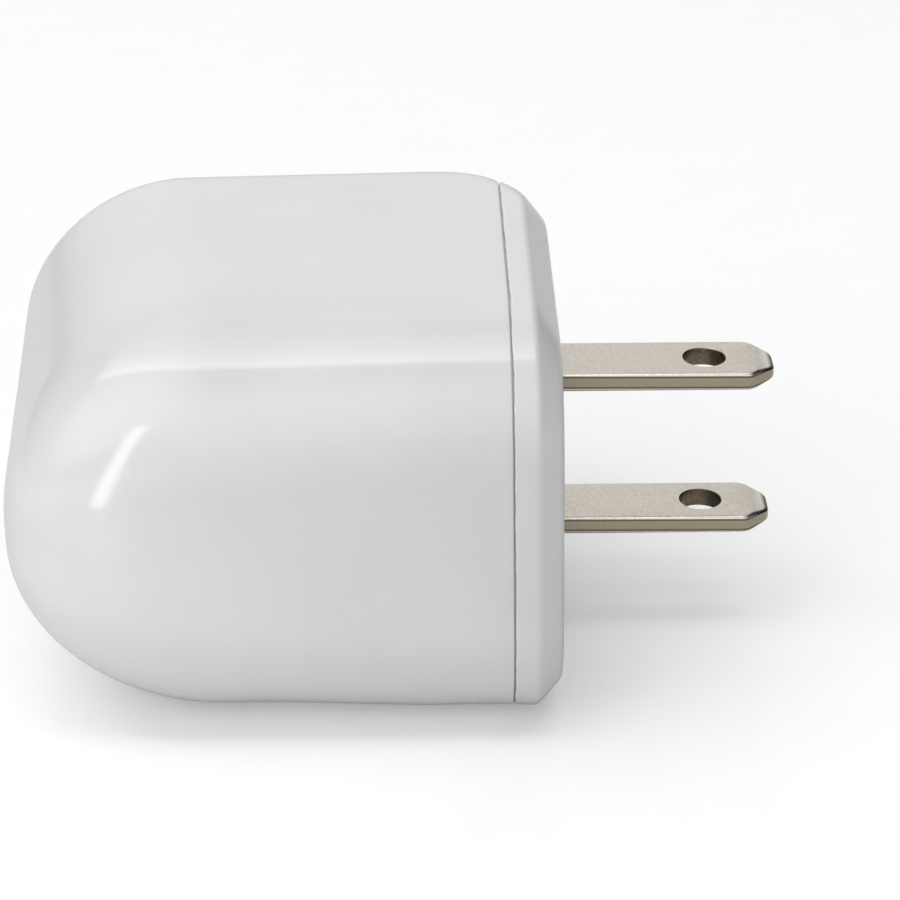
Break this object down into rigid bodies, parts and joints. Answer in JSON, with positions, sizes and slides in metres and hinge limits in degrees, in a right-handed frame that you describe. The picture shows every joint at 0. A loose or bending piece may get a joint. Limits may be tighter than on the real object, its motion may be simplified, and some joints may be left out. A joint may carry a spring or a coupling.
{
  "type": "usb wall charger",
  "caption": "Rounded white wall charger with a USB port at one end and fixed parallel flat blades at the other.",
  "frame": {"origin": "centre of the flat wall face, midway between the blades", "axes": "+X along the blades towards the outlet, +Z from the lower blade to the upper one, +Y across the blades' width"},
  "size_m": [0.0593, 0.038, 0.0342],
  "materials": {
    "case_plastic": "polished white",
    "blade_metal": "nickel-plated brass",
    "holder_plastic": "satin",
    "contact_metal": "bright",
    "board_laminate": "solder mask",
    "plated_steel": "bright plated",
    "black_plastic": "moulded",
    "ferrite": "sintered",
    "copper_wire": "enamelled",
    "yellow_tape": "film",
    "capacitor_sleeve": "shrink sleeve",
    "blue_coating": "dipped",
    "green_coating": "dipped",
    "tan_ceramic": "fired",
    "fish_paper": "smooth sheet"
  },
  "bodies": {
    "root": {"front_housing": "case_plastic", "rear_cover": "case_plastic", "line_blade": "blade_metal", "neutral_blade": "blade_metal", "blade_holder": "holder_plastic", "line_clip": "contact_metal", "neutral_clip": "contact_metal", "main_board": "board_laminate", "usb_shell": "plated_steel", "usb_insulator": "black_plastic", "usb_contacts": "contact_metal", "transformer_core": "ferrite", "transformer_bobbin": "black_plastic", "transformer_winding": "copper_wire", "transformer_tape": "yellow_tape", "transformer_pins": "plated_steel", "input_capacitor_1": "capacitor_sleeve", "input_capacitor_2": "capacitor_sleeve", "output_capacitor": "capacitor_sleeve", "capacitor_leads": "plated_steel", "choke_core": "ferrite", "choke_winding": "copper_wire", "y_capacitor": "blue_coating", "fusible_resistor": "green_coating", "bridge_rectifier": "black_plastic", "controller_chip": "black_plastic", "output_diode": "black_plastic", "optocoupler": "black_plastic", "chip_resistors": "black_plastic", "chip_capacitors": "tan_ceramic", "insulation_sheet": "fish_paper"}
  },
  "joints": []
}
